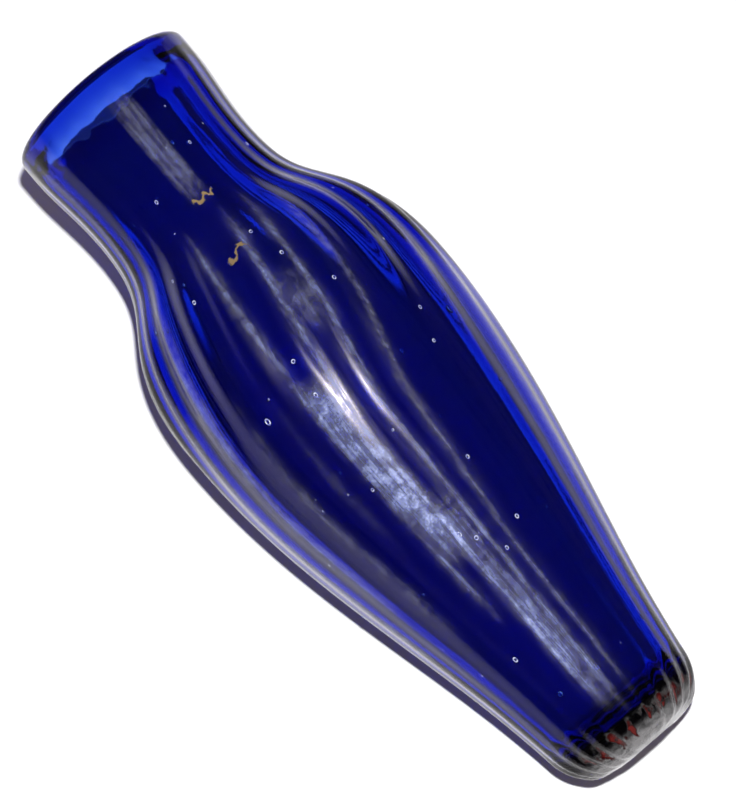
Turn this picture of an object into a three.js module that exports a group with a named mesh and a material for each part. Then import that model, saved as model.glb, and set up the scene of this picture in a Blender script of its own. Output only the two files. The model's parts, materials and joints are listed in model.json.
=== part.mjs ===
// An antique bottle of cobalt-blue blown glass, lying on its side as it comes to rest by itself.
// It has a wide fire-polished mouth, a short neck, a swelling shoulder and a long taper to a small
// foot, with twenty-four soft ribs from a dip mould that swirl a little over the shoulder.
// Millimetres, +Z up, mouth towards -X. A station is a distance along the axis from the lip.
import * as THREE from 'three';

// Driving dimensions
const LENGTH = 200;
const OUTER_KNOTS = [
  // [station, outer radius]: lip, flare, neck, shoulder, belly, taper and top of the heel
  [0, 24.5], [8, 24.4], [20, 23.2], [34, 23.0], [44, 25.5], [54, 31.7],
  [66, 36.5], [84, 38.3], [110, 36.3], [145, 29.2], [175, 22.5], [188.6, 20.2],
];
const WALL = 2.2;
const LIP_THICKNESS = 3.8;
const LIP_BEAD_END = 9;
const FLOOR_STATION = 191;
const FLOOR_RISE = 1.2;
const INNER_HEEL_RADIUS = 8;
const FOOT_RADIUS = 13.6;
const KICK_RADIUS = 8.5;
const KICK_DEPTH = 3.2;
const SCAR_RADIUS = 5.2;
const SCAR_GAP = 0.3;
const SCAR_RECESS = 0.9;
const SCAR_CHIP = 0.3;
const SCAR_RAGGEDNESS = 0.05;

// Ribs: depth is a fraction of the radius, phase is measured from the top of the lying bottle
const RIB_COUNT = 24;
const RIB_PHASE = Math.PI / RIB_COUNT;
const BODY_RIB = 0.0055;
const SHOULDER_RIB = 0.019;
const SHOULDER_RIB_STATION = 64;
const SHOULDER_RIB_SPREAD = 20;
const FOOT_RIB = 0.03;
const FOOT_RIB_START = 184.6;
const LIP_FADE = 12;
const INNER_RIB_SHARE = 0.35;
const SWIRL = THREE.MathUtils.degToRad(12.5);
const SWIRL_START = 45;
const SWIRL_END = 112;

// The mouth stands this much higher than level when the centre of mass is over the contact
const REST_TILT = THREE.MathUtils.degToRad(8.3);

// Steps along each stretch of the profile, and steps around it
const STEPS_AROUND = 3 * RIB_COUNT;
const OUTER_STEPS = 20;
const INNER_STEPS = 14;
const BEAD_STEPS = 3;
const LIP_STEPS = 4;
const HEEL_STEPS = 4;
const INNER_HEEL_STEPS = 4;
const KICK_STEPS = 3;
const SCAR_STEPS_AROUND = 24;
const SAME_POINT = 1e-6;

const cobaltGlass = new THREE.MeshStandardMaterial({ color: 0x1a1a9c, roughness: 0.08, metalness: 0 });
const scarGlass = new THREE.MeshStandardMaterial({ color: 0x23236e, roughness: 0.35, metalness: 0 });

// A smooth curve (natural cubic spline) through [station, radius] knots.
function naturalSpline(knots) {
  const last = knots.length - 1;
  const x = knots.map(([station]) => station);
  const y = knots.map(([, radius]) => radius);
  const bend = new Array(knots.length).fill(0);
  const sweep = new Array(knots.length).fill(0);
  for (let i = 1; i < last; i += 1) {
    const share = (x[i] - x[i - 1]) / (x[i + 1] - x[i - 1]);
    const pivot = share * bend[i - 1] + 2;
    const turn = (y[i + 1] - y[i]) / (x[i + 1] - x[i]) - (y[i] - y[i - 1]) / (x[i] - x[i - 1]);
    bend[i] = (share - 1) / pivot;
    sweep[i] = (6 * turn / (x[i + 1] - x[i - 1]) - share * sweep[i - 1]) / pivot;
  }
  bend[last] = 0;
  for (let i = last - 1; i >= 0; i -= 1) {
    bend[i] = bend[i] * bend[i + 1] + sweep[i];
  }
  return (station) => {
    const next = Math.max(1, Math.min(last, x.findIndex((knot) => knot >= station)));
    const span = x[next] - x[next - 1];
    const a = (x[next] - station) / span;
    const b = 1 - a;
    const curl = (a ** 3 - a) * bend[next - 1] + (b ** 3 - b) * bend[next];
    return a * y[next - 1] + b * y[next] + curl * span ** 2 / 6;
  };
}

const outerRadius = naturalSpline(OUTER_KNOTS);
const heelTop = OUTER_KNOTS.at(-1)[0];

// The wall is even, and thickens inwards to the rounded bead of the lip.
function innerRadius(station) {
  const bead = 1 - THREE.MathUtils.smoothstep(station, LIP_THICKNESS / 2, LIP_BEAD_END);
  return outerRadius(station) - WALL - bead * (LIP_THICKNESS - WALL);
}

function ribDepth(station) {
  const fromShoulder = (station - SHOULDER_RIB_STATION) / SHOULDER_RIB_SPREAD;
  const shoulder = (SHOULDER_RIB - BODY_RIB) * Math.exp(-(fromShoulder ** 2));
  const foot = (FOOT_RIB - BODY_RIB) * THREE.MathUtils.smoothstep(station, FOOT_RIB_START, LENGTH);
  return (BODY_RIB + shoulder + foot) * THREE.MathUtils.smoothstep(station, 0, LIP_FADE);
}

function swirl(station) {
  return SWIRL * (1 - THREE.MathUtils.smoothstep(station, SWIRL_START, SWIRL_END));
}

function kickStation(radius) {
  return LENGTH - KICK_DEPTH * (1 - (radius / KICK_RADIUS) ** 2);
}

// Calls place(t) for t evenly from 0 to 1 and returns the points in order.
function sample(steps, place) {
  return Array.from({ length: steps + 1 }, (_, i) => place(i / steps));
}

// Each stretch below is a list of [radius, station, share of the rib depth].
function innerFloor() {
  const centreRadius = innerRadius(FLOOR_STATION - INNER_HEEL_RADIUS) - INNER_HEEL_RADIUS;
  const heel = sample(INNER_HEEL_STEPS, (t) => [
    centreRadius + INNER_HEEL_RADIUS * Math.sin(t * Math.PI / 2),
    FLOOR_STATION - INNER_HEEL_RADIUS * (1 - Math.cos(t * Math.PI / 2)),
    INNER_RIB_SHARE * t,
  ]);
  return [[0, FLOOR_STATION - FLOOR_RISE, 0], ...heel];
}

// The inner wall up to the bead, then the inside of the bead.
function innerWall(lipEdge) {
  const start = FLOOR_STATION - INNER_HEEL_RADIUS;
  const place = (from, to) => (t) => {
    const station = THREE.MathUtils.lerp(from, to, t);
    return [innerRadius(station), station, INNER_RIB_SHARE];
  };
  return [
    ...sample(INNER_STEPS, place(start, LIP_BEAD_END)),
    ...sample(BEAD_STEPS, place(LIP_BEAD_END, lipEdge)),
  ];
}

function lip(lipEdge) {
  const middle = (outerRadius(lipEdge) + innerRadius(lipEdge)) / 2;
  return sample(LIP_STEPS, (t) => [
    middle - lipEdge * Math.cos(t * Math.PI),
    lipEdge * (1 - Math.sin(t * Math.PI)),
    t,
  ]);
}

function outerWall(lipEdge) {
  return sample(OUTER_STEPS, (t) => {
    const station = THREE.MathUtils.lerp(lipEdge, heelTop, t);
    return [outerRadius(station), station, 1];
  });
}

// The heel carries on from the end of the taper and curls in to the edge of the foot.
function heel() {
  const top = new THREE.Vector2(outerRadius(heelTop), heelTop);
  const foot = new THREE.Vector2(FOOT_RADIUS, LENGTH);
  const middleStation = (heelTop + LENGTH) / 2;
  const taper = (outerRadius(heelTop) - outerRadius(heelTop - 1)) * (middleStation - heelTop);
  const bend = new THREE.Vector2(top.x + taper, middleStation);
  const curve = new THREE.QuadraticBezierCurve(top, bend, foot);
  return curve.getPoints(HEEL_STEPS).map(({ x, y }) => [x, y, 1]);
}

function kick() {
  return sample(KICK_STEPS, (t) => [KICK_RADIUS * (1 - t), kickStation(KICK_RADIUS * (1 - t)), 0]);
}

// Drops a point that repeats the one before it, where two stretches meet.
function joined(...stretches) {
  const points = stretches.flat();
  return points.filter(([radius, station], i) => {
    if (i === 0) {
      return true;
    }
    const [lastRadius, lastStation] = points[i - 1];
    return Math.hypot(radius - lastRadius, station - lastStation) > SAME_POINT;
  });
}

// Turns a profile about the axis; reshape(radius, station, angle, index) gives [radius, station].
function turned(profile, stepsAround, reshape) {
  const outline = profile.map(([radius, station]) => new THREE.Vector2(radius, station));
  const geometry = new THREE.LatheGeometry(outline, stepsAround);
  const position = geometry.attributes.position;
  for (let i = 0; i < position.count; i += 1) {
    const row = i % profile.length;
    const angle = 2 * Math.PI * (Math.floor(i / profile.length) % stepsAround) / stepsAround;
    const [radius, station] = reshape(profile[row][0], profile[row][1], angle, row);
    position.setXYZ(i, radius * Math.sin(angle), station, radius * Math.cos(angle));
  }
  geometry.computeVertexNormals();
  return geometry;
}

function glassBody() {
  const lipEdge = LIP_THICKNESS / 2;
  const profile = joined(
    innerFloor(), innerWall(lipEdge), lip(lipEdge), outerWall(lipEdge), heel(), kick(),
  );
  const geometry = turned(profile, STEPS_AROUND, (radius, station, angle, row) => {
    const crest = Math.cos(RIB_COUNT * (angle + RIB_PHASE + swirl(station)));
    return [radius * (1 + profile[row][2] * ribDepth(station) * crest), station];
  });
  return new THREE.Mesh(geometry, cobaltGlass);
}

// The pontil scar is the broken end of a second small gather of glass, sunk in the kick-up.
function pontilScar() {
  const back = sample(2, (t) => [SCAR_RADIUS * t, kickStation(SCAR_RADIUS * t) + SCAR_GAP, 0]);
  const front = LENGTH - SCAR_RECESS;
  const broken = [
    [SCAR_RADIUS * 0.8, front, 1],
    [SCAR_RADIUS * 0.45, front - SCAR_CHIP, 1],
    [0, front - SCAR_CHIP / 2, 0],
  ];
  const profile = [...back, ...broken];
  const geometry = turned(profile, SCAR_STEPS_AROUND, (radius, station, angle, row) => {
    const ragged = 1 + SCAR_RAGGEDNESS * (Math.sin(3 * angle) + Math.sin(7 * angle + 1));
    const chipped = SCAR_CHIP * (Math.sin(2 * angle + 0.6) + 0.5 * Math.sin(5 * angle));
    return [radius * (profile[row][2] ? ragged : 1), station + profile[row][2] * chipped];
  });
  return new THREE.Mesh(geometry, scarGlass);
}

const body = glassBody();
body.name = 'glass_body';
const scar = pontilScar();
scar.name = 'pontil_scar';

// The profile's axis is laid along +X, then tilted so that the mouth is raised.
const axis = new THREE.Group();
axis.rotation.z = -Math.PI / 2;
axis.add(body, scar);
const lying = new THREE.Group();
lying.rotation.y = REST_TILT;
lying.add(axis);

// The origin is under the middle of the lying bottle, at the height of what it rests on.
const reach = new THREE.Box3().setFromObject(lying, true);
const middle = reach.getCenter(new THREE.Vector3());
lying.position.set(-middle.x, -middle.y, -reach.min.z);

const group = new THREE.Group();
group.add(lying);

export default group;
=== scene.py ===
"""An antique ribbed bottle of cobalt-blue blown glass, lying on a pale floor. A small hard flash from
near the camera casts its narrow shadow, and an even studio glow fills the rest.

The fine glass is turned around the CAD bottle's own axis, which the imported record's foot mount gives.
Lengths are in metres in the CAD's frame. A station is a distance along the axis from the lip, and an
angle around the axis is counted from the top of the lying bottle towards +Y.
"""
import json
import math

import bmesh
import bpy
import numpy as np
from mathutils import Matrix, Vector, noise


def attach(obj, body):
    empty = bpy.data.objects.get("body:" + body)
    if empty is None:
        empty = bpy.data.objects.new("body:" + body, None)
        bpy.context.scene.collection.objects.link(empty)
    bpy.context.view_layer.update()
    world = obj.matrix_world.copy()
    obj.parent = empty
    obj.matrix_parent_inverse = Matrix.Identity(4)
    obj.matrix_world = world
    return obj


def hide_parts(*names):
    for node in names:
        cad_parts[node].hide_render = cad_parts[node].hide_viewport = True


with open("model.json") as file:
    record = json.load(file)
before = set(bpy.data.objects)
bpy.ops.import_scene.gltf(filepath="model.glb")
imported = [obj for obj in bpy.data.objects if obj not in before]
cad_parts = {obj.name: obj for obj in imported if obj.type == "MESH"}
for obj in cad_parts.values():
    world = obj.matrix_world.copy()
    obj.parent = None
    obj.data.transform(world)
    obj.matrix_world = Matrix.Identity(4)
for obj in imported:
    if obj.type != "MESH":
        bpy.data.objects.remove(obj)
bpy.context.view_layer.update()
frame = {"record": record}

MM = 0.001

# Driving dimensions of the glass: the CAD part's own, and for the fine mesh a rounded edge of the foot,
# a softer kick-up and a scar that is seated closer
LENGTH = 200 * MM
OUTER_KNOTS = np.array([
    (0, 24.5), (8, 24.4), (20, 23.2), (34, 23.0), (44, 25.5), (54, 31.7),
    (66, 36.5), (84, 38.3), (110, 36.3), (145, 29.2), (175, 22.5), (188.6, 20.2),
]) * MM
WALL = 2.2 * MM
LIP_THICKNESS = 3.8 * MM
LIP_BEAD_END = 9 * MM
FLOOR_STATION = 191 * MM
FLOOR_RISE = 1.2 * MM
INNER_HEEL_RADIUS = 8 * MM
FOOT_RADIUS = 13.6 * MM
FOOT_ROUNDING = 2.4 * MM
FOOT_MOUNT_RADIUS = 11 * MM
KICK_RADIUS = 8.5 * MM
KICK_DEPTH = 3.2 * MM
KICK_SOFTNESS = 1.5
SCAR_RADIUS = 5.2 * MM
SCAR_RECESS = 0.9 * MM
SCAR_SEAT = 0.05 * MM

# Ribs: depth is a fraction of the radius, and the inner wall takes a share of it
RIB_COUNT = 24
RIB_PHASE = math.pi / RIB_COUNT
BODY_RIB = 0.0055
SHOULDER_RIB = 0.019
SHOULDER_RIB_STATION = 64 * MM
SHOULDER_RIB_SPREAD = 20 * MM
FOOT_RIB = 0.03
FOOT_RIB_START = 184.6 * MM
LIP_FADE = 12 * MM
INNER_RIB_SHARE = 0.45
SWIRL = math.radians(12.5)
SWIRL_START = 45 * MM
SWIRL_END = 112 * MM

# Fineness of the turned mesh
COLUMNS = 13 * RIB_COUNT
FLOOR_ROWS = 6
INNER_HEEL_ROWS = 15
INNER_ROWS = 78
MOUTH_ROWS = 18
MOUTH_ROWS_END = 14 * MM
LIP_ROWS = 18
OUTER_ROWS = 120
HEEL_ROWS = 22
FOOT_ROWS = 7
KICK_ROWS = 12

# Slow waves left by hand and breath: waves around, waves along and size. They die out towards the foot.
OUTER_MODES = [(2, 0.6, 0.10 * MM), (3, 0.8, 0.07 * MM), (5, 1.0, 0.03 * MM), (11, 1.5, 0.012 * MM)]
INNER_MODES = [
    (1, 0.8, 0.16 * MM), (2, 0.8, 0.12 * MM), (5, 1.5, 0.05 * MM), (9, 2.0, 0.03 * MM),
    (17, 2.5, 0.014 * MM), (31, 3.0, 0.008 * MM), (43, 3.0, 0.006 * MM),
]
MOUTH_MODES = [(13, 38, 0.035 * MM), (23, 50, 0.025 * MM), (37, 60, 0.014 * MM)]
MOUTH_WAVES = (5 * MM, 12 * MM)
MOUTH_WAVE_FADE = 3 * MM
WAVE_FADE = 15 * MM
STILL_RADIUS = 12 * MM

# The foot is a little short of its full length, in lobes: from this station, and beyond these radii
FOOT_MODES = [(2, 0, 0.30 * MM), (3, 0, 0.22 * MM), (5, 0, 0.14 * MM)]
FOOT_SHORTFALL = 0.66 * MM
FOOT_LOBES_START = 192 * MM
FOOT_LOBES_RADII = (7 * MM, 11 * MM)

# Glass: an even wall lets through a twentieth of the red, an eighth of the green and most of the blue
GLASS_IOR = 1.5
ABSORPTION_PER_METRE = 1362
ABSORPTION_KEEPS = (0.0, 0.32, 0.880)
# It reflects a quarter of what bare glass would head-on, or the flash would hide the dark blue
SPECULAR_TINT = (0.26, 0.24, 0.26, 1)

# Textures flow with the ribs: around them by their own angle, and along them with this unit of length
FLOW_UNIT = 30 * MM

# Two small golden-brown marks, a painted reflection of a warm lamp: the middle as station and degrees, half
# length, swing, waves, half width
WARM_REFLECTION_MARKS = [
    ((39.4 * MM, -4.7), 3 * MM, 0.7 * MM, 2.2, 0.6 * MM),
    ((56 * MM, -11), 3.2 * MM, 1.3 * MM, 1.1, 0.55 * MM),
]
WARM_REFLECTION_WANDER = 7.0
WARM_REFLECTION_DEPTHS = (-8 * MM, -5 * MM)

# Milky bloom worn along the top of the lying bottle, partly a painted highlight of the flash: each line's
# angle in degrees at these stations, with the station where it ends and its strength
BLOOM_AND_HIGHLIGHT_STATIONS = np.array([40, 59, 80, 103, 145, 184]) * MM
BLOOM_AND_HIGHLIGHT_LINES = [
    ((-25, -24, -25.5, -27, -29, -30), 152 * MM, 0.6),
    ((-1, -7, -12, -17, -18, -19.5), 181 * MM, 0.75),
    ((13, 4.5, 0, -7, -8, -9), 184 * MM, 0.55),
    ((25, 17, 13, 3, 0, 1.5), 183 * MM, 0.25),
]
BLOOM_AND_HIGHLIGHT_LINE_STRENGTH = 0.8
BLOOM_AND_HIGHLIGHT_LINE_START = 50 * MM
BLOOM_AND_HIGHLIGHT_LINE_FADE = 8 * MM
BLOOM_AND_HIGHLIGHT_LINE_WIDTH = 0.42 * MM
BLOOM_AND_HIGHLIGHT_HAZE_WIDTH = 1.4 * MM
BLOOM_AND_HIGHLIGHT_HAZE = 0.22
# and broader patches of it, partly painted sheen of the flash: low and high angle in degrees, first and
# last station, strength
BLOOM_AND_SHEEN_PATCHES = [
    (-27, -17.5, 94 * MM, 137 * MM, 0.85),
    (-19, -10.5, 130 * MM, 183 * MM, 0.3),
    (-18.5, -13, 157 * MM, 172 * MM, 0.6),
    (-20.5, -18.5, 164 * MM, 181 * MM, 0.7),
    (-10, -8, 164 * MM, 182 * MM, 0.7),
    (-12, 0, 12 * MM, 36 * MM, 0.3),
    (-8, 0, 70 * MM, 79 * MM, 0.25),
]
BLOOM_AND_SHEEN_PATCH_FADE = 6 * MM
BLOOM_AND_SHEEN_PATCH_SOFTNESS = 2.0
# and a weaker stretch along each rib lower on the sides
RIB_BLOOM_WIDTH = 1.3 * MM
RIB_BLOOM_FADE = 12 * MM
RIB_BLOOM_ANGLES = (math.radians(32), math.radians(60))

# Other wear, and painted dark red light at the heel: first and last angle in degrees, stations or radii
HANDLED_ANGLES = (-50, 24)
HANDLED_SOFTNESS = 10
HANDLED_STATIONS = (62 * MM, 186 * MM)
HANDLED_FADE = 14 * MM
WORN_STATIONS = (194 * MM, 198.5 * MM)
WORN_RADII = (7.5 * MM, 10 * MM)
RED_LIGHT_STATIONS = (193 * MM, 196.5 * MM)
RED_LIGHT_FADE = 2.2 * MM
RED_LIGHT_RADII = (9 * MM, 12 * MM)
RED_LIGHT_BETWEEN_RIBS = 0.7

# Bubbles in the wall, and burst seeds, small rings at its surface painted pale as glints of the flash
BUBBLES = 100
BUBBLE_MARGIN = 6 * MM
SMALLEST_BUBBLE = 0.14
LARGEST_BUBBLE = 0.62
# The burst seeds that stand out: station and size in millimetres, with the angle in degrees between them
OPEN_SEEDS = [
    (84, -20.6, 0.4), (93, -22.2, 0.35), (140, -12, 0.4), (142, 7.5, 0.35), (100, 22.5, 0.3),
    (90, -42, 0.5), (125, 5.5, 0.3), (63, 1, 0.3), (54, -1, 0.3), (137, -16.5, 0.35),
    (146, -4.5, 0.3), (166, -39, 0.4), (58, -37, 0.3), (117, -30, 0.3), (75, 9, 0.3),
    (33, -27, 0.3), (27, 11, 0.25), (110, -10, 0.25),
]
LOOSE_SEEDS = 70
RIM_STEPS = 18
RIM_TUBE_STEPS = 8
RIM_THICKNESS = 0.32
RIM_HEIGHT = 0.7

# The pontil scar's mesh and its snapped face
SCAR_ROWS = 26
SCAR_COLUMNS = 96
SCAR_RAGGEDNESS = 0.05
SCAR_FINE_RAGGEDNESS = 0.015
SCAR_SLANT = (0.25 * MM, -0.2 * MM)
SCAR_RIPPLE = 0.10 * MM
SCAR_RIPPLE_CENTRE = (-0.9, 0.4)
SCAR_GRAIN = 0.3 * MM

# Colours of what lies on the glass and of its painted highlight, reflection, red light and glints, and how
# much of it they hide
CLEAR = (1, 1, 1, 1)
BLOOM_AND_HIGHLIGHT_COLOUR = (0.50, 0.58, 0.95, 1)
BLOOM_AND_HIGHLIGHT_COVER = 0.85
WORN_COLOUR = (0.46, 0.45, 0.45, 1)
WORN_COVER = 0.42
# The heel's dark red is painted light seen through the thick base
RED_LIGHT_COLOUR = (0.13, 0.012, 0.010, 1)
RED_LIGHT_COVER = 0.85
# The golden-brown is a painted reflection of a warm lamp
WARM_REFLECTION_COLOUR = (0.30, 0.21, 0.10, 1)
WARM_REFLECTION_COVER = 0.75
POLISHED_ROUGHNESS = 0.03
COVER_ROUGHNESS = 0.45
SCAR_BLUE = (0.75, 0.80, 0.95, 1)
SCAR_STAIN = (0.30, 0.07, 0.03, 1)
RIM_BLUE = (0.10, 0.12, 0.42, 1)
# The rims' pale flecks are painted glints of the flash
RIM_GLINT = (0.62, 0.66, 0.78, 1)

# The floor and the studio, with directions as azimuth and elevation
FLOOR_COLOUR = (0.92, 0.92, 0.92, 1)
FLOOR_ROUGHNESS = 0.9
FLOOR_HALF_SIDE = 2.0
CAMERA_DIRECTION = (math.radians(49.45), math.radians(70))
CAMERA_DISTANCE = 0.78
CAMERA_TARGET = Vector((-0.0033, 0.0027, 0.035))
CAMERA_LENS = 149.3
CAMERA_SENSOR = 36
FLASH_DIRECTION = (math.radians(53.5), math.radians(76.2))
FLASH_DISTANCE = 0.86
FLASH_TARGET = Vector((0, 0, 0.03))
FLASH_SIZE = 0.02
FLASH_POWER = 9
STUDIO_COLOUR = (1.0, 0.84, 1.0, 1)
STUDIO_STRENGTH = 0.12


def natural_spline(knots):
    """A smooth radius for every station through (station, radius) knots, as a natural cubic spline."""
    x, y = knots[:, 0], knots[:, 1]
    last = len(x) - 1
    step = np.diff(x)
    system = np.eye(last + 1)
    turn = np.zeros(last + 1)
    for i in range(1, last):
        system[i, i - 1:i + 2] = step[i - 1], 2 * (step[i - 1] + step[i]), step[i]
        turn[i] = 6 * ((y[i + 1] - y[i]) / step[i] - (y[i] - y[i - 1]) / step[i - 1])
    bend = np.linalg.solve(system, turn)

    def radius(station):
        station = np.clip(station, x[0], x[-1])
        k = np.clip(np.searchsorted(x, station) - 1, 0, last - 1)
        a = (x[k + 1] - station) / step[k]
        b = 1 - a
        curl = (a ** 3 - a) * bend[k] + (b ** 3 - b) * bend[k + 1]
        return a * y[k] + b * y[k + 1] + curl * step[k] ** 2 / 6

    return radius


outer_radius = natural_spline(OUTER_KNOTS)
HEEL_TOP = OUTER_KNOTS[-1, 0]


def smoothstep(value, low, high):
    t = np.clip((value - low) / (high - low), 0, 1)
    return t * t * (3 - 2 * t)


def window(value, start, end, fade):
    return smoothstep(value, start - fade, start + fade) * (1 - smoothstep(value, end - fade, end + fade))


def rib_depth(station):
    from_shoulder = (station - SHOULDER_RIB_STATION) / SHOULDER_RIB_SPREAD
    shoulder = (SHOULDER_RIB - BODY_RIB) * np.exp(-from_shoulder ** 2)
    foot = (FOOT_RIB - BODY_RIB) * smoothstep(station, FOOT_RIB_START, LENGTH)
    return (BODY_RIB + shoulder + foot) * smoothstep(station, 0, LIP_FADE)


def rib_angle(angle, station):
    """The angle from the ribs' own zero, so that a rib stays at one value as it swirls."""
    return angle - RIB_PHASE - swirl(station)


def swirl(station):
    return SWIRL * (1 - smoothstep(station, SWIRL_START, SWIRL_END))


def wall(station):
    """The wall is even, and thickens inwards to the rounded bead of the lip."""
    return WALL + (LIP_THICKNESS - WALL) * (1 - smoothstep(station, LIP_THICKNESS / 2, LIP_BEAD_END))


def kick_station(radius):
    return LENGTH - KICK_DEPTH * (1 - (radius / KICK_RADIUS) ** 2) ** KICK_SOFTNESS


# The profile: rows of radius, station, share of the rib depth and 1 where it is the outer face
def inner_rows():
    top = FLOOR_STATION - INNER_HEEL_RADIUS
    centre = outer_radius(top) - WALL - INNER_HEEL_RADIUS
    turn = np.linspace(0, math.pi / 2, INNER_HEEL_ROWS)
    floor = np.linspace(0, 1, FLOOR_ROWS)[1:-1]
    rise = FLOOR_STATION - FLOOR_RISE
    rows = [(centre * t, rise + FLOOR_RISE * t * t, 0, 0) for t in floor]
    rows += [
        (centre + INNER_HEEL_RADIUS * math.sin(a), top + INNER_HEEL_RADIUS * math.cos(a),
         INNER_RIB_SHARE * math.sin(a), 0)
        for a in turn
    ]
    stations = np.concatenate([
        np.linspace(top, MOUTH_ROWS_END, INNER_ROWS)[1:],
        np.linspace(MOUTH_ROWS_END, LIP_THICKNESS / 2, MOUTH_ROWS)[1:],
    ])
    rows += [(outer_radius(s) - wall(s), s, INNER_RIB_SHARE, 0) for s in stations]
    return rows


def lip_rows():
    half = LIP_THICKNESS / 2
    middle = outer_radius(half) - half
    return [
        (middle - half * math.cos(a), half * (1 - math.sin(a)), a / math.pi, a / math.pi)
        for a in np.linspace(0, math.pi, LIP_ROWS)[1:-1]
    ]


def outer_rows():
    return [(outer_radius(s), s, 1, 1) for s in np.linspace(LIP_THICKNESS / 2, HEEL_TOP, OUTER_ROWS)]


def heel_rows():
    """The heel curls in from the taper to a small rounding at the edge of the foot."""
    top = Vector((outer_radius(HEEL_TOP), HEEL_TOP))
    reach = (LENGTH - HEEL_TOP) / 2
    slope = (outer_radius(HEEL_TOP) - outer_radius(HEEL_TOP - MM)) / MM
    bend = Vector((top.x + slope * reach, HEEL_TOP + reach))
    foot = Vector((FOOT_RADIUS, LENGTH))
    curve = [top.lerp(bend, t).lerp(bend.lerp(foot, t), t) for t in np.linspace(0, 1, HEEL_ROWS)[1:]]
    flat = foot - Vector((2 * FOOT_ROUNDING, 0))
    soft = [p for p in curve if (foot - p).length > FOOT_ROUNDING]
    start = soft[-1]
    rounding = np.linspace(0, 1, FOOT_ROWS)[1:]
    soft += [start.lerp(foot, t).lerp(foot.lerp(flat, t), t) for t in rounding]
    return [(p.x, p.y, 1 - smoothstep(FOOT_RADIUS - p.x, 0, 2 * FOOT_ROUNDING), 1) for p in soft]


def kick_rows():
    return [(r, kick_station(r), 0, 1) for r in np.linspace(KICK_RADIUS, 0, KICK_ROWS)[:-1]]


def unevenness(angle, station, seed, modes):
    """The sum of the modes, each turned and slanted at random."""
    rng = np.random.default_rng(seed)
    wave = np.zeros_like(angle)
    for around, along, size in modes:
        phase = rng.uniform(0, 2 * math.pi)
        drift = rng.uniform(-along, along)
        wave += size * np.cos(around * angle + phase + 2 * math.pi * drift * station / LENGTH)
    return wave


def bottle_frame():
    """The mouth's centre and the directions along, up and across, from the record's foot mount."""
    foot = next(m for m in frame["record"]["mounts"] if m["name"] == "foot")
    along = Vector(foot["axis"]).normalized()
    across = Vector((0, 1, 0))
    up = along.cross(across)
    mouth = Vector(foot["pos_m"]) - across * FOOT_MOUNT_RADIUS - along * LENGTH
    return mouth, along, up, across


MOUTH, ALONG, UP, ACROSS = bottle_frame()


def placed(radius, station, angle):
    """Row-frame points for a radius, station and angle, each a number or an array."""
    radius, station, angle = np.broadcast_arrays(radius, station, angle)
    return (
        np.array(MOUTH)
        + station[..., None] * np.array(ALONG)
        + (radius * np.cos(angle))[..., None] * np.array(UP)
        + (radius * np.sin(angle))[..., None] * np.array(ACROSS)
    )


def outer_wave(angle, station):
    return smoothstep(LENGTH - station, 0, WAVE_FADE) * unevenness(angle, station, 3, OUTER_MODES)


def inner_wave(angle, station):
    body = smoothstep(LENGTH - station, 0, WAVE_FADE) * unevenness(angle, station, 8, INNER_MODES)
    near_mouth = window(station, *MOUTH_WAVES, MOUTH_WAVE_FADE)
    return body + near_mouth * unevenness(angle, station, 12, MOUTH_MODES)


def crest_at(angle, station):
    return np.cos(RIB_COUNT * rib_angle(angle, station))


def outer_surface(angle, station):
    """Points on the glass between the lip and the heel."""
    ribbed = outer_radius(station) * (1 + rib_depth(station) * crest_at(angle, station))
    return placed(ribbed + outer_wave(angle, station), station, angle)


def foot_shortfall(angle, station, radius):
    """How far the foot falls short of its full length, in slow lobes around it."""
    lobes = FOOT_SHORTFALL + unevenness(angle, station, 17, FOOT_MODES)
    return lobes * smoothstep(station, FOOT_LOBES_START, LENGTH) * smoothstep(radius, *FOOT_LOBES_RADII)


def turned_grid(rows):
    """Radius, station, angle and outside for each row and column of the glass."""
    radius, station, share, outside = np.array(rows, float).T[:, :, None]
    angle = np.linspace(-math.pi, math.pi, COLUMNS, endpoint=False)[None, :] + 0 * radius
    station = station + 0 * angle
    ribbed = radius * (1 + share * rib_depth(station) * crest_at(angle, station))
    wave = outer_wave(angle, station) + (1 - outside) * inner_wave(angle, station)
    radius = ribbed + smoothstep(radius, 0, STILL_RADIUS) * wave
    station = station - outside * foot_shortfall(angle, station, radius)
    return radius, station, angle, outside + 0 * angle


def closed_faces(rows, columns, first_centre, last_centre):
    """Faces, all facing out, of rows of points around the axis, with a centre point at either end."""
    row, column = np.meshgrid(np.arange(rows - 1), np.arange(columns), indexing="ij")
    right = (column + 1) % columns
    corners = [
        row * columns + column, (row + 1) * columns + column,
        (row + 1) * columns + right, row * columns + right,
    ]
    faces = np.stack(corners, -1).reshape(-1, 4).tolist()
    last_row = (rows - 1) * columns
    for i in range(columns):
        following = (i + 1) % columns
        faces.append((first_centre, i, following))
        faces.append((last_centre, last_row + following, last_row + i))
    return faces


def bloom_and_highlight_lines(angle, station, radius):
    amount = np.zeros_like(angle)
    for degrees, end, strength in BLOOM_AND_HIGHLIGHT_LINES:
        line = np.radians(np.interp(station, BLOOM_AND_HIGHLIGHT_STATIONS, degrees))
        away = np.abs(angle - line) * radius
        core = np.exp(-(away / BLOOM_AND_HIGHLIGHT_LINE_WIDTH) ** 2)
        haze = BLOOM_AND_HIGHLIGHT_HAZE * np.exp(-(away / BLOOM_AND_HIGHLIGHT_HAZE_WIDTH) ** 2)
        along = window(station, BLOOM_AND_HIGHLIGHT_LINE_START, end, BLOOM_AND_HIGHLIGHT_LINE_FADE)
        amount += BLOOM_AND_HIGHLIGHT_LINE_STRENGTH * strength * (core + haze) * along
    return amount


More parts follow.
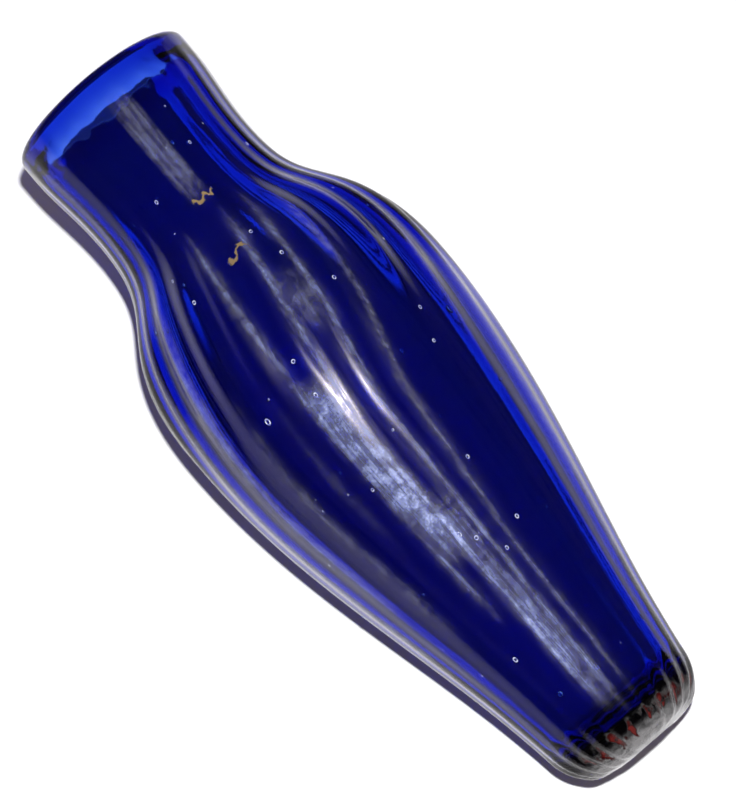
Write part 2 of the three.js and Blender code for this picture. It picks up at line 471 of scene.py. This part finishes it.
def bloom_and_sheen_patches(angle, station):
    amount = np.zeros_like(angle)
    for low, high, start, end, strength in BLOOM_AND_SHEEN_PATCHES:
        around = window(np.degrees(angle), low, high, BLOOM_AND_SHEEN_PATCH_SOFTNESS)
        amount += strength * around * window(station, start, end, BLOOM_AND_SHEEN_PATCH_FADE)
    return amount


def rib_bloom(angle, station, radius):
    amount = np.zeros_like(angle)
    rng = np.random.default_rng(5)
    for rib in range(RIB_COUNT):
        turn = angle - (2 * math.pi * rib / RIB_COUNT + RIB_PHASE + swirl(station))
        away = np.abs((turn + math.pi) % (2 * math.pi) - math.pi) * radius
        start = rng.uniform(45, 110) * MM
        end = start + rng.uniform(30, 90) * MM
        strength = rng.uniform(0.1, 0.7)
        shade = np.exp(-(away / RIB_BLOOM_WIDTH) ** 2)
        amount += strength * shade * window(station, start, end, RIB_BLOOM_FADE)
    return amount * smoothstep(np.abs(angle), *RIB_BLOOM_ANGLES)


def bloom_and_highlight(angle, station, radius):
    """How milky the outer face is: worn lines and patches on top, partly a painted highlight of the flash,
    and weaker lines on the other ribs.
    """
    painted_highlight_and_bloom = bloom_and_highlight_lines(angle, station, radius) + bloom_and_sheen_patches(angle, station)
    return np.clip(painted_highlight_and_bloom + rib_bloom(angle, station, radius), 0, 1)


def handling(angle, station):
    """Fine all-over wear on the upper side of the belly and the taper."""
    around = window(np.degrees(angle), *HANDLED_ANGLES, HANDLED_SOFTNESS)
    return around * window(station, *HANDLED_STATIONS, HANDLED_FADE)


def foot_wear(station, radius):
    """Where the foot has been set down: its rounded ring and the last of the heel."""
    return smoothstep(station, *WORN_STATIONS) * smoothstep(radius, *WORN_RADII)


def painted_red_light(angle, station, radius):
    """Painted dark red light seen through the thick heel, most of it between the ribs and towards the top.
    """
    groove = 1 - RED_LIGHT_BETWEEN_RIBS + RED_LIGHT_BETWEEN_RIBS * np.clip(-crest_at(angle, station), 0, 1)
    towards_top = 0.5 + 0.5 * np.cos(angle)
    band = window(station, *RED_LIGHT_STATIONS, RED_LIGHT_FADE) * smoothstep(radius, *RED_LIGHT_RADII)
    return groove * towards_top * band


def seed_shapes():
    """The air bubbles in the wall: angle, station, half width and stretch along the axis."""
    rng = np.random.default_rng(21)
    seeds = []
    for _ in range(BUBBLES):
        station = LENGTH * rng.beta(1.4, 1.3) * 0.9 + BUBBLE_MARGIN
        size = MM * min(LARGEST_BUBBLE, SMALLEST_BUBBLE + rng.exponential(0.15))
        seeds.append((rng.uniform(0, 2 * math.pi), station, size, rng.uniform(1.1, 2.2)))
    return seeds


def seed_mesh():
    """One small closed sphere, facing in, as the surface of an air bubble inside the glass."""
    bubble = bmesh.new()
    bmesh.ops.create_icosphere(bubble, subdivisions=2, radius=1)
    points = np.array([v.co[:] for v in bubble.verts])
    faces = [[v.index for v in reversed(f.verts)] for f in bubble.faces]
    bubble.free()
    return points, faces


def seeds(first):
    """All the bubbles' points, and their faces counted on from the first point's number."""
    bubble, bubble_faces = seed_mesh()
    directions = np.array([ALONG, UP, ACROSS])
    points = []
    faces = []
    for angle, station, size, stretch in seed_shapes():
        centre = placed(outer_radius(station) - WALL / 2, station, angle)
        start = first + len(points) * len(bubble)
        points.append(centre + (bubble * size * (stretch, 1, 1)) @ directions)
        faces += [[start + v for v in f] for f in bubble_faces]
    return np.vstack(points), faces


def glass_body():
    rows = inner_rows() + lip_rows() + outer_rows() + heel_rows() + kick_rows()
    radius, station, angle, outside = turned_grid(rows)
    points = placed(radius, station, angle).reshape(-1, 3)
    faces = closed_faces(len(rows), COLUMNS, len(points), len(points) + 1)
    bubbles, bubble_faces = seeds(len(points) + 2)
    floor_centre = placed(0, FLOOR_STATION - FLOOR_RISE, 0)
    kick_centre = placed(0, LENGTH - KICK_DEPTH, 0)
    points = np.vstack([points, floor_centre, kick_centre, bubbles])
    around = rib_angle(angle, station)
    flow = np.stack([np.cos(around), np.sin(around), station / FLOW_UNIT], -1).reshape(-1, 3)
    blank = len(points) - len(flow)
    values = {
        # Bloom on top is partly a painted highlight of the flash
        "bloom_and_highlight": outside * bloom_and_highlight(angle, station, radius),
        "handled": outside * handling(angle, station),
        "worn": outside * foot_wear(station, radius),
        # The heel's dark red is painted light seen through the thick base
        "painted_red_light": outside * painted_red_light(angle, station, radius),
        "outside": outside,
    }
    values = {name: np.append(value.ravel(), np.zeros(blank)) for name, value in values.items()}
    values["flow"] = np.vstack([flow, np.zeros((blank, 3))])
    return mesh_object("ribbed_glass", points, faces + bubble_faces, values)


def open_seed_places():
    rng = np.random.default_rng(33)
    places = [(at * MM, math.radians(degrees), size * MM) for at, degrees, size in OPEN_SEEDS]
    for _ in range(LOOSE_SEEDS):
        size = 0.10 + min(0.25, rng.exponential(0.07))
        places.append((rng.uniform(14, 182) * MM, rng.uniform(-math.pi, math.pi), size * MM))
    return places


def seed_rim(station, angle, size, stretch):
    """A small low ring on the glass, as points of a torus that closes both ways."""
    turn = np.linspace(0, 2 * math.pi, RIM_STEPS, endpoint=False)[:, None]
    tube = np.linspace(0, 2 * math.pi, RIM_TUBE_STEPS, endpoint=False)[None, :]
    centre = outer_surface(np.array(angle), np.array(station))
    along = outer_surface(np.array(angle), np.array(station + size)) - centre
    around = outer_surface(np.array(angle + size / outer_radius(station)), np.array(station)) - centre
    out = np.cross(around, along)
    out *= size / np.linalg.norm(out)
    reach = 1 + RIM_THICKNESS * np.cos(tube)
    return (
        centre
        + (stretch * reach * np.cos(turn))[..., None] * along
        + (reach * np.sin(turn))[..., None] * around
        + (RIM_HEIGHT * RIM_THICKNESS * np.sin(tube) + 0 * turn)[..., None] * out
    ).reshape(-1, 3)


def burst_seeds():
    rng = np.random.default_rng(34)
    ring = np.arange(RIM_STEPS * RIM_TUBE_STEPS).reshape(RIM_STEPS, RIM_TUBE_STEPS)
    right = np.roll(ring, -1, axis=0)
    corners = [ring, right, np.roll(right, -1, axis=1), np.roll(ring, -1, axis=1)]
    quads = np.stack(corners, -1).reshape(-1, 4)
    points = []
    faces = []
    for station, angle, size in open_seed_places():
        faces.append(quads + len(points) * ring.size)
        points.append(seed_rim(station, angle, size, rng.uniform(1.0, 1.5)))
    return mesh_object("burst_seeds", np.vstack(points), np.vstack(faces).tolist())


def broken_face(radius, angle):
    """The station of the snapped face: a slant, shell-like ripples about one edge, and grain."""
    x = radius * np.cos(angle) / SCAR_RADIUS
    y = radius * np.sin(angle) / SCAR_RADIUS
    slant = SCAR_SLANT[0] * x + SCAR_SLANT[1] * y
    away = np.hypot(x - SCAR_RIPPLE_CENTRE[0], y - SCAR_RIPPLE_CENTRE[1])
    ripple = SCAR_RIPPLE * np.sin(16 * away) * np.exp(-away)
    grain = np.vectorize(lambda a, b: noise.noise(Vector((3 * a, 3 * b, 0.5))))(x, y)
    return LENGTH - SCAR_RECESS + slant + ripple + SCAR_GRAIN * grain


def scar_edge(angle):
    coarse = SCAR_RAGGEDNESS * (np.sin(3 * angle) + np.sin(7 * angle + 1))
    return SCAR_RADIUS * (1 + coarse + SCAR_FINE_RAGGEDNESS * np.sin(19 * angle))


def pontil_scar():
    angle = np.linspace(0, 2 * math.pi, SCAR_COLUMNS, endpoint=False)[None, :]
    radius = np.linspace(0, 1, SCAR_ROWS)[1:, None] * scar_edge(angle)
    back = kick_station(radius) + SCAR_SEAT
    front = np.maximum(broken_face(radius, angle), back + 3 * SCAR_SEAT)
    grids = [placed(radius, back, angle), placed(radius[::-1], front[::-1], angle)]
    points = np.vstack([grid.reshape(-1, 3) for grid in grids])
    faces = closed_faces(2 * (SCAR_ROWS - 1), SCAR_COLUMNS, len(points), len(points) + 1)
    back_centre = placed(0, kick_station(0) + SCAR_SEAT, 0)
    front_centre = placed(0, float(broken_face(0.0, 0.0)), 0)
    return mesh_object("broken_pontil", np.vstack([points, back_centre, front_centre]), faces)


def mesh_object(name, points, faces, values=None):
    mesh = bpy.data.meshes.new(name)
    mesh.from_pydata(points.tolist(), [], faces)
    for key, data in (values or {}).items():
        kind = "FLOAT_VECTOR" if data.ndim == 2 else "FLOAT"
        attribute = mesh.attributes.new(key, kind, "POINT")
        attribute.data.foreach_set("vector" if data.ndim == 2 else "value", data.astype(np.float32).ravel())
    mesh.polygons.foreach_set("use_smooth", [True] * len(mesh.polygons))
    mesh.update()
    piece = bpy.data.objects.new(name, mesh)
    bpy.context.scene.collection.objects.link(piece)
    return piece


class Tree:
    """A material's node tree, with a short way to add and join nodes."""

    def __init__(self, name):
        self.material = bpy.data.materials.new(name)
        self.material.use_nodes = True
        self.nodes = self.material.node_tree.nodes
        self.links = self.material.node_tree.links
        self.shader = self.nodes["Principled BSDF"]
        self.output = self.nodes["Material Output"]

    def add(self, kind, **settings):
        node = self.nodes.new(kind)
        for key, value in settings.items():
            setattr(node, key, value)
        return node

    def feed(self, socket, source):
        if isinstance(source, bpy.types.NodeSocket):
            self.links.new(source, socket)
        else:
            socket.default_value = source

    def math(self, operation, a, b=0.0, clamp=False):
        node = self.add("ShaderNodeMath", operation=operation, use_clamp=clamp)
        self.feed(node.inputs[0], a)
        self.feed(node.inputs[1], b)
        return node.outputs[0]

    def product(self, first, *others):
        for other in others:
            first = self.math("MULTIPLY", first, other)
        return first

    def vector(self, operation, a, b):
        node = self.add("ShaderNodeVectorMath", operation=operation)
        self.feed(node.inputs[0], a)
        self.feed(node.inputs[1], b)
        return node.outputs["Value" if operation == "DOT_PRODUCT" else "Vector"]

    def attribute(self, name, output="Fac"):
        return self.add("ShaderNodeAttribute", attribute_name=name).outputs[output]

    def noise(self, vector, scale, detail=3.0, roughness=0.5, stretch=(1, 1, 1)):
        mapping = self.add("ShaderNodeMapping")
        self.feed(mapping.inputs["Vector"], vector)
        mapping.inputs["Scale"].default_value = stretch
        node = self.add("ShaderNodeTexNoise")
        self.feed(node.inputs["Vector"], mapping.outputs[0])
        node.inputs["Scale"].default_value = scale
        node.inputs["Detail"].default_value = detail
        node.inputs["Roughness"].default_value = roughness
        return node.outputs["Fac"]

    def remap(self, value, low, high, to_low=0.0, to_high=1.0):
        node = self.add("ShaderNodeMapRange", interpolation_type="SMOOTHSTEP")
        self.feed(node.inputs["Value"], value)
        for key, number in (("From Min", low), ("From Max", high), ("To Min", to_low), ("To Max", to_high)):
            node.inputs[key].default_value = number
        return node.outputs["Result"]

    def mix_colour(self, share, a, b):
        node = self.add("ShaderNodeMix", data_type="RGBA")
        self.feed(node.inputs["Factor"], share)
        self.feed(node.inputs[6], a)
        self.feed(node.inputs[7], b)
        return node.outputs[2]


def absorb(tree):
    """The colour of the glass, by the length of glass that light goes through."""
    absorption = tree.add("ShaderNodeVolumeAbsorption")
    absorption.inputs["Color"].default_value = (*ABSORPTION_KEEPS, 1)
    absorption.inputs["Density"].default_value = ABSORPTION_PER_METRE
    tree.feed(tree.output.inputs["Volume"], absorption.outputs[0])


def bump(tree, height, strength, distance):
    node = tree.add("ShaderNodeBump")
    node.inputs["Strength"].default_value = strength
    node.inputs["Distance"].default_value = distance
    tree.feed(node.inputs["Height"], height)
    tree.feed(tree.shader.inputs["Normal"], node.outputs[0])


def squiggle(tree, centre, half_length, swing, waves, half_width):
    """A thin wandering painted reflection on the top of the bottle, about a point given by station and
    degrees.
    """
    station, angle = centre
    middle = Vector(placed(outer_radius(station), station, math.radians(angle)))
    position = tree.add("ShaderNodeTexCoord").outputs["Object"]
    offset = tree.vector("SUBTRACT", position, middle)
    x = tree.vector("DOT_PRODUCT", offset, ACROSS)
    y = tree.vector("DOT_PRODUCT", offset, ALONG)
    height = tree.vector("DOT_PRODUCT", offset, UP)
    wander = tree.noise(position, 420.0, 2.0)
    turns = tree.math("MULTIPLY", x, math.pi * waves / half_length)
    phase = tree.math("ADD", turns, tree.math("MULTIPLY", wander, WARM_REFLECTION_WANDER))
    path = tree.math("MULTIPLY", tree.math("SINE", phase), swing)
    away = tree.math("ABSOLUTE", tree.math("SUBTRACT", y, path))
    mark = tree.remap(away, half_width, 0.5 * half_width)
    ends = tree.remap(tree.math("ABSOLUTE", x), half_length, 0.8 * half_length)
    upper = tree.remap(height, *WARM_REFLECTION_DEPTHS)
    return tree.product(mark, ends, upper)


def milkiness_and_highlight(tree, flow, scratch):
    """The bloom and painted highlight, which is cloudy, speckled and scratched."""
    clouds = tree.remap(tree.noise(flow, 9.0, 4.0, 0.65), 0.36, 0.64, 0.3, 1.0)
    speckle = tree.remap(tree.noise(flow, 60.0, 3.0, 0.65), 0.38, 0.66, 0.5, 1.0)
    return tree.product(tree.attribute("bloom_and_highlight"), clouds, speckle, scratch)


def scuffing(tree, flow):
    """The foot's wear, in scuffs that run around it."""
    scuffs = tree.remap(tree.noise(flow, 5.0, 5.0, 0.65, (1, 1, 5)), 0.38, 0.6, 0.25, 1.0)
    return tree.product(tree.attribute("worn"), scuffs)


def red_light_specks(tree, flow):
    """The painted dark red light of the heel, in specks and clumps."""
    specks = tree.remap(tree.noise(flow, 20.0, 4.0, 0.65), 0.34, 0.56)
    clumps = tree.remap(tree.noise(flow, 8.0, 1.0), 0.42, 0.60)
    amount = tree.product(tree.attribute("painted_red_light"), specks, clumps)
    return tree.remap(amount, 0.02, 0.8, 0.0, RED_LIGHT_COVER)


def painted_warm_reflections(tree):
    warm_reflections = tree.math("MAXIMUM", *[squiggle(tree, *mark) for mark in WARM_REFLECTION_MARKS])
    return tree.product(warm_reflections, tree.attribute("outside"), WARM_REFLECTION_COVER)


def surface_relief(tree, flow, cover):
    """Drawn-out waves, grain and the cover's own tooth disturb the surface a little."""
    waves = tree.noise(flow, 4.0, 2.0, 0.5, (1, 1, 0.3))
    grain = tree.noise(flow, 48.0, 2.0, 0.5)
    height = tree.math("ADD", waves, tree.math("MULTIPLY", grain, 0.06))
    height = tree.math("ADD", height, tree.math("MULTIPLY", cover, 0.05))
    bump(tree, height, 0.35, 0.0004)


def cobalt_glass():
    tree = Tree("cobalt_glass")
    shader = tree.shader
    shader.inputs["IOR"].default_value = GLASS_IOR
    shader.inputs["Specular Tint"].default_value = SPECULAR_TINT
    flow = tree.attribute("flow", "Vector")
    scratch = tree.remap(tree.noise(flow, 30.0, 4.0, 0.65, (1, 1, 0.06)), 0.38, 0.62, 0.4, 1.0)
    milky_and_highlight = milkiness_and_highlight(tree, flow, scratch)
    worn = scuffing(tree, flow)
    red_light = red_light_specks(tree, flow)
    warm_reflections = painted_warm_reflections(tree)
    # The bloom colour is partly a painted highlight of the flash
    colour = tree.mix_colour(tree.remap(milky_and_highlight, 0.0, 0.2), CLEAR, BLOOM_AND_HIGHLIGHT_COLOUR)
    colour = tree.mix_colour(worn, colour, WORN_COLOUR)
    # The heel's dark red is painted light seen through the thick base
    colour = tree.mix_colour(tree.remap(red_light, 0.0, 0.15), colour, RED_LIGHT_COLOUR)
    # The golden marks are a painted reflection of a warm lamp
    colour = tree.mix_colour(tree.remap(warm_reflections, 0.0, 0.25), colour, WARM_REFLECTION_COLOUR)
    tree.feed(shader.inputs["Base Color"], colour)
    milky_and_highlight_cover = tree.math("MULTIPLY", milky_and_highlight, BLOOM_AND_HIGHLIGHT_COVER)
    worn_cover = tree.math("MULTIPLY", worn, WORN_COVER)
    cover = tree.math("MAXIMUM", milky_and_highlight_cover, worn_cover)
    cover = tree.math("MAXIMUM", cover, tree.math("MAXIMUM", red_light, warm_reflections))
    tree.feed(shader.inputs["Transmission Weight"], tree.math("SUBTRACT", 1.0, cover))
    tooth = tree.product(tree.attribute("handled"), tree.remap(scratch, 0.4, 1.0, 0.14, 0.22))
    tooth = tree.math("ADD", tooth, tree.math("MULTIPLY", cover, COVER_ROUGHNESS))
    roughness = tree.math("ADD", POLISHED_ROUGHNESS, tooth, clamp=True)
    tree.feed(shader.inputs["Roughness"], roughness)
    surface_relief(tree, flow, cover)
    absorb(tree)
    return tree.material


def scar_glass():
    tree = Tree("scar_glass")
    shader = tree.shader
    position = tree.add("ShaderNodeTexCoord").outputs["Object"]
    grit = tree.noise(position, 900.0, 4.0, 0.65)
    stain = tree.remap(tree.noise(position, 350.0, 4.0, 0.6), 0.5, 0.62)
    colour = tree.mix_colour(tree.remap(grit, 0.4, 0.65), SCAR_BLUE, CLEAR)
    tree.feed(shader.inputs["Base Color"], tree.mix_colour(stain, colour, SCAR_STAIN))
    tree.feed(shader.inputs["Transmission Weight"], tree.remap(stain, 0.0, 1.0, 0.85, 0.2))
    tree.feed(shader.inputs["Roughness"], tree.remap(grit, 0.35, 0.7, 0.12, 0.5))
    shader.inputs["IOR"].default_value = GLASS_IOR
    bump(tree, grit, 0.4, 0.0002)
    absorb(tree)
    return tree.material


def seed_glass():
    """The rim of a burst bubble, with pale flecks painted as glints of the flash."""
    tree = Tree("seed_rims")
    position = tree.add("ShaderNodeTexCoord").outputs["Object"]
    painted_glint = tree.remap(tree.noise(position, 1500.0, 3.0, 0.6), 0.35, 0.65)
    tree.feed(tree.shader.inputs["Base Color"], tree.mix_colour(painted_glint, RIM_BLUE, RIM_GLINT))
    tree.feed(tree.shader.inputs["Roughness"], tree.remap(painted_glint, 0.0, 1.0, 0.15, 0.5))
    bump(tree, painted_glint, 0.3, 0.0001)
    return tree.material


def floor():
    tree = Tree("floor")
    tree.shader.inputs["Base Color"].default_value = FLOOR_COLOUR
    tree.shader.inputs["Roughness"].default_value = FLOOR_ROUGHNESS
    side = FLOOR_HALF_SIDE
    corners = np.array([(-side, -side, 0), (side, -side, 0), (side, side, 0), (-side, side, 0)])
    piece = mesh_object("floor", corners, [(0, 1, 2, 3)])
    piece.data.materials.append(tree.material)
    return piece


def direction(azimuth, elevation):
    return Vector((
        math.sin(azimuth) * math.cos(elevation),
        -math.cos(azimuth) * math.cos(elevation),
        math.sin(elevation),
    ))


def aimed(name, data, at, target):
    piece = bpy.data.objects.new(name, data)
    bpy.context.scene.collection.objects.link(piece)
    piece.location = at
    piece.rotation_euler = (target - at).to_track_quat("-Z", "Y").to_euler()
    return piece


def camera():
    """The camera stands high over the foot's side of the bottle."""
    data = bpy.data.cameras.new("camera")
    data.lens = CAMERA_LENS
    data.sensor_width = CAMERA_SENSOR
    data.clip_start = 0.01
    at = CAMERA_TARGET + CAMERA_DISTANCE * direction(*CAMERA_DIRECTION)
    bpy.context.scene.camera = aimed("camera", data, at, CAMERA_TARGET)


def flash():
    data = bpy.data.lights.new("flash", "AREA")
    data.shape = "DISK"
    data.size = FLASH_SIZE
    data.energy = FLASH_POWER
    aimed("flash", data, FLASH_DISTANCE * direction(*FLASH_DIRECTION), FLASH_TARGET)


def studio():
    world = bpy.data.worlds.new("studio")
    world.use_nodes = True
    world.node_tree.nodes["Background"].inputs["Color"].default_value = STUDIO_COLOUR
    world.node_tree.nodes["Background"].inputs["Strength"].default_value = STUDIO_STRENGTH
    bpy.context.scene.world = world
    bpy.context.scene.view_settings.view_transform = "Standard"


camera()
flash()
studio()
ground = floor()
glass = glass_body()
glass.data.materials.append(cobalt_glass())
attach(glass, "root")
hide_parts("glass_body")
rims = burst_seeds()
rims.data.materials.append(seed_glass())
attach(rims, "root")
scar = pontil_scar()
scar.data.materials.append(scar_glass())
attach(scar, "root")
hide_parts("pontil_scar")
